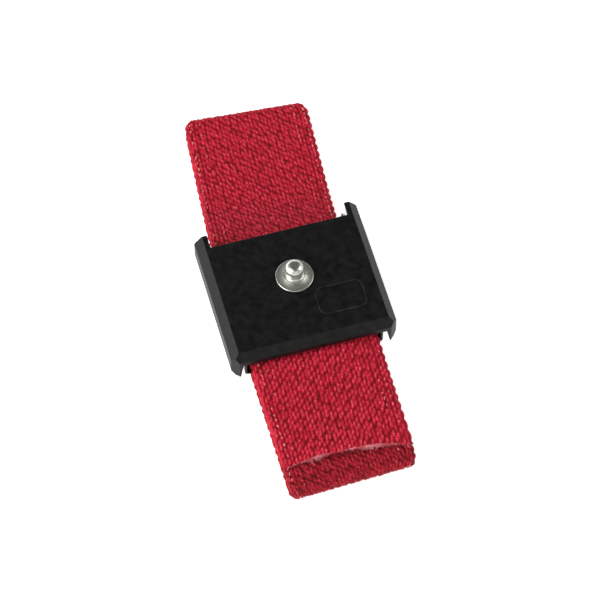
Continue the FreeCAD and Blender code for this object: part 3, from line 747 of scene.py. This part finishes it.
def metal_material(name, colour, dark, roughness, grain_scale, stretch=(1, 1, 1), shaded_end=None):
    """Metal with fine scratches and faint stains, painted near black below shaded_end along y, as painted
    shade, if that is given.
    """
    material, tree, shader = new_material(name)
    place = object_coordinates(tree)
    stretched = node(tree, "Mapping", Scale=stretch)
    tree.links.new(place, stretched.inputs["Vector"])
    scratches = noise(tree, stretched.outputs["Vector"], grain_scale, 4.0, 0.65)
    stain = noise(tree, place, 700.0, 4.0, 0.6)
    surface = ramp(tree, stain, [(0.32, dark), (0.62, colour)])
    if shaded_end is not None:
        axes = node(tree, "SeparateXYZ")
        tree.links.new(place, axes.inputs[0])
        out_of_shade = node(tree, "MapRange", From_Min=shaded_end, From_Max=shaded_end + SHADED_END_FADE * MM)
        tree.links.new(axes.outputs["Y"], out_of_shade.inputs["Value"])
        # painted shade: near black where the cover shades the plate's ends
        end_shade = ramp(tree, stain, [(0.3, (0.008, 0.008, 0.008)), (0.7, (0.02, 0.02, 0.02))])
        surface = tinted(tree, end_shade, out_of_shade.outputs["Result"], "MIX", surface)
    tree.links.new(surface, shader.inputs["Base Color"])
    tree.links.new(mapped(tree, scratches, roughness * 0.75, roughness * 1.3), shader.inputs["Roughness"])
    bump(tree, shader, [(scratches, 0.00002, 0.3)])
    shader.inputs["Metallic"].default_value = 1.0
    return material


def wear(nodes, material):
    """Gives CAD nodes their material."""
    for name in nodes:
        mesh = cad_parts[name].data
        mesh.materials.clear()
        mesh.materials.append(material)


# ---------------------------------------------------------------- stage
def floor_material():
    material, tree, shader = new_material("pale_floor")
    shader.inputs["Base Color"].default_value = (0.75, 0.75, 0.75, 1)
    shader.inputs["Roughness"].default_value = 0.9
    shader.inputs["Specular IOR Level"].default_value = 0.1
    shader.inputs["Emission Color"].default_value = (1, 1, 1, 1)
    shader.inputs["Emission Strength"].default_value = FLOOR_GLOW
    return material


def make_floor():
    half = 3000.0
    points = [(-half, -half, 0), (half, -half, 0), (half, half, 0), (-half, half, 0)]
    floor = new_mesh("floor", points, [(0, 1, 2, 3)], floor_material(), smooth=False)


def soft_box(name, place, size, power):
    """Rectangular light aimed at the strap; place and size in metres."""
    data = bpy.data.lights.new(name, "AREA")
    data.shape = "RECTANGLE"
    data.size, data.size_y = size
    data.energy = power
    light = bpy.data.objects.new(name, data)
    light.location = place
    light.rotation_euler = (-Vector(place)).to_track_quat("-Z", "Y").to_euler()
    bpy.context.scene.collection.objects.link(light)


def make_world():
    """Studio walls that are bright low down, more so on one side, under a dark ceiling."""
    world = bpy.data.worlds.new("studio")
    world.use_nodes = True
    tree = world.node_tree
    axes = node(tree, "SeparateXYZ")
    tree.links.new(node(tree, "TexCoord").outputs["Generated"], axes.inputs[0])
    height = ramp(tree, axes.outputs["Z"], [(place, (level,) * 3) for place, level in WALL_LEVELS])
    facing = node(tree, "VectorMath", operation="DOT_PRODUCT")
    facing.inputs[1].default_value = BRIGHT_SIDE
    tree.links.new(node(tree, "TexCoord").outputs["Generated"], facing.inputs[0])
    side = node(tree, "MapRange", From_Min=WALLS_BRIGHTEN_FROM, To_Min=DIM_WALL, To_Max=BRIGHT_WALL)
    tree.links.new(facing.outputs["Value"], side.inputs["Value"])
    background = tree.nodes["Background"]
    tree.links.new(height, background.inputs["Color"])
    tree.links.new(side.outputs["Result"], background.inputs["Strength"])
    bpy.context.scene.world = world


def make_camera():
    turn, rise = math.radians(CAMERA_TURN), math.radians(CAMERA_RISE)
    back = Vector((-math.sin(turn) * math.cos(rise), -math.cos(turn) * math.cos(rise), math.sin(rise)))
    target = Vector(CAMERA_TARGET) * MM
    data = bpy.data.cameras.new("camera")
    data.sensor_width = 36
    data.lens = CAMERA_LENS
    data.clip_start = 0.01
    camera = bpy.data.objects.new("camera", data)
    camera.location = target + back * CAMERA_DISTANCE
    camera.rotation_euler = (-back).to_track_quat("-Z", "Y").to_euler()
    bpy.context.scene.collection.objects.link(camera)
    bpy.context.scene.camera = camera


def mount(piece, body, node_name=None):
    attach(piece, body)
    if node_name:
        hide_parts(node_name)
    return piece


def main():
    red_thread = thread_material("red_thread", (0.38, 0.006, 0.02), (0.55, 0.02, 0.05), 900.0, 0.6)
    pale_yarn = thread_material("pale_conductive_yarn", (0.52, 0.045, 0.065), (0.78, 0.28, 0.25), 900.0, 0.45)
    loose_fibre = thread_material("loose_fibre", (0.58, 0.05, 0.08), (0.86, 0.33, 0.37), 350.0, 0.7)
    webbing = mount(make_webbing(webbing_material()), BASE, "strap")
    tack = mount(make_bar_tack(red_thread), BASE, "anchor_stitching")
    yarn = mount(make_yarn(pale_yarn), BASE, None)
    fray = mount(make_fray(loose_fibre), BASE, None)
    wear(["cover"], plastic_material(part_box("cover")[1][2]))
    nickel = metal_material("nickel_plate", (0.62, 0.63, 0.58), (0.50, 0.49, 0.43), 0.36, 2500.0)
    wear(["snap_stud", "stud_rivet", "rivet_washer"], nickel)
    steel = (0.36, 0.35, 0.34), (0.22, 0.21, 0.20), 0.32, 900.0, (0.1, 1, 1)
    # where the back plate's painted shade ends
    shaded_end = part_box("back_plate")[0][1] + SHADED_END * MM
    wear(["back_plate"], metal_material("brushed_steel_sheet", *steel, shaded_end))
    wear(["anchor_bar", "adjuster_bar"], metal_material("brushed_steel", *steel))
    spring_steel = metal_material("spring_steel", (0.66, 0.62, 0.55), (0.5, 0.45, 0.38), 0.22, 1500.0)
    wear(["contact_spring"], spring_steel)
    make_floor()
    make_world()
    for name, place, size, power in SOFT_BOXES:
        soft_box(name, place, size, power)
    make_camera()
    bpy.context.scene.view_settings.view_transform = "Standard"


main()
